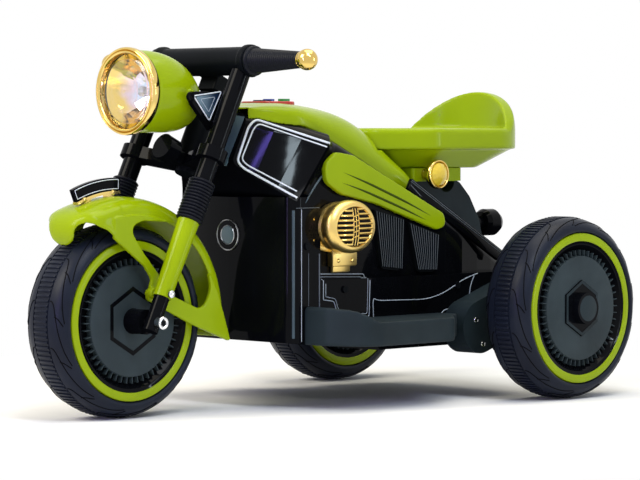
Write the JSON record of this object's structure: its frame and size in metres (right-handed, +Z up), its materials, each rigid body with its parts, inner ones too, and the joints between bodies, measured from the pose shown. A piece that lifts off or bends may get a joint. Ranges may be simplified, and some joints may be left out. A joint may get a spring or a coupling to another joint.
{
  "type": "kids electric motorbike",
  "caption": "Ride-on electric motorbike for a small child, in a vintage style, with a steered front fork, a driven rear wheel, a lipped seat, footboards and a pedal switch.",
  "frame": {"origin": "on the ground, on the centre line, midway between the front and rear axles", "axes": "+X to the rider's left, +Y to the rear, +Z up"},
  "size_m": [0.4782, 0.767, 0.4225],
  "materials": {
    "tyre_black": "moulded",
    "hub_dark": "satin",
    "lime": "gloss",
    "black_gloss": "gloss",
    "black_matte": "satin",
    "rubber_black": "matte",
    "gold": "gold plated",
    "bright": "polished",
    "steel": "zinc plated",
    "clear": "clear",
    "amber": "translucent",
    "mirror_silver": "mirror",
    "red": "gloss",
    "nylon": "moulded",
    "button_green": "gloss",
    "button_blue": "gloss"
  },
  "bodies": {
    "chassis": {"body_shell_left": "black_gloss", "body_shell_right": "black_gloss", "tank_cover": "lime", "side_trims": "lime", "control_panel": "red", "seat": "lime", "seat_bracket": "lime", "footboard_left": "black_matte", "footboard_right": "black_matte", "tail_bracket": "black_matte", "tail_lamp": "black_gloss", "turn_light_rings": "gold", "turn_light_lenses": "amber", "horns": "gold", "ribbed_pads": "black_matte", "rear_axle": "steel", "gearbox_case": "black_matte", "gearbox_cover": "black_matte", "axle_arm_right": "black_matte", "drive_motor": "steel", "battery": "black_matte", "charge_socket": "black_matte", "steering_head": "black_matte", "steering_bushes": "nylon", "shell_screws": "steel"},
    "steering": {"steering_stem": "black_matte", "lower_yoke": "black_gloss", "bar_cover": "black_gloss", "fork_tubes": "black_gloss", "fork_gaiters": "rubber_black", "fork_legs": "lime", "front_axle": "bright", "front_fender": "lime", "fender_screws": "bright", "number_plate": "black_gloss", "plate_rail": "gold", "handlebar": "steel", "grips": "rubber_black", "bar_ends": "gold", "headlight_bucket": "lime", "headlight_bezel": "gold", "headlight_lens": "clear", "headlight_reflector": "mirror_silver", "headlight_ears": "black_gloss"},
    "front_wheel": {"front_tyre": "tyre_black", "front_hub": "hub_dark", "front_rings": "lime"},
    "rear_left_wheel": {"rear_left_tyre": "tyre_black", "rear_left_hub": "hub_dark", "rear_left_rings": "lime", "output_gear": "nylon"},
    "rear_right_wheel": {"rear_right_tyre": "tyre_black", "rear_right_hub": "hub_dark", "rear_right_rings": "lime"},
    "idler": {"idler_gear": "nylon"},
    "pinion": {"motor_pinion": "nylon"},
    "pedal": {"foot_pedal": "black_matte"},
    "rocker": {"direction_rocker": "black_matte"},
    "power": {"power_button": "button_green"},
    "sound": {"sound_button": "button_blue"}
  },
  "joints": [
    {"name": "steering_turn", "type": "hinge", "parent": "chassis", "child": "steering", "pos_m": [0, -0.24901, 0.09816], "axis": [0, 0.4352, 0.9003], "range_deg": [-25, 25]},
    {"name": "front_wheel_spin", "type": "hinge", "parent": "steering", "child": "front_wheel", "pos_m": [0, -0.2735, 0.11], "axis": [1, 0, 0], "continuous": true},
    {"name": "rear_left_wheel_spin", "type": "hinge", "parent": "chassis", "child": "rear_left_wheel", "pos_m": [0.1956, 0.2735, 0.11], "axis": [1, 0, 0], "continuous": true},
    {"name": "rear_right_wheel_spin", "type": "hinge", "parent": "chassis", "child": "rear_right_wheel", "pos_m": [-0.1956, 0.2735, 0.11], "axis": [1, 0, 0], "continuous": true},
    {"name": "idler_spin", "type": "hinge", "parent": "chassis", "child": "idler", "pos_m": [0.113, 0.22895, 0.09544], "axis": [1, 0, 0], "continuous": true},
    {"name": "pinion_spin", "type": "hinge", "parent": "chassis", "child": "pinion", "pos_m": [0.113, 0.20043, 0.08612], "axis": [1, 0, 0], "continuous": true},
    {"name": "pedal_press", "type": "hinge", "parent": "chassis", "child": "pedal", "pos_m": [-0.14, 0.086, 0.112], "axis": [1, 0, 0], "range_deg": [0, 8], "stiffness_Nm_per_rad": 0.6, "springref_deg": -5.73},
    {"name": "rocker_tilt", "type": "hinge", "parent": "chassis", "child": "rocker", "pos_m": [0, -0.041, 0.3535], "axis": [1, 0, 0], "range_deg": [-10, 10]},
    {"name": "power_press", "type": "slide", "parent": "chassis", "child": "power", "axis": [0, 0, -1], "range_m": [0, 0.002], "stiffness_N_per_m": 300, "springref_m": -0.001},
    {"name": "sound_press", "type": "slide", "parent": "chassis", "child": "sound", "axis": [0, 0, -1], "range_m": [0, 0.002], "stiffness_N_per_m": 300, "springref_m": -0.001}
  ],
  "couplings": [
    {"joint": "idler_spin", "follows": "rear_left_wheel_spin", "ratio": -1.1429},
    {"joint": "pinion_spin", "follows": "rear_left_wheel_spin", "ratio": 3.0769}
  ]
}
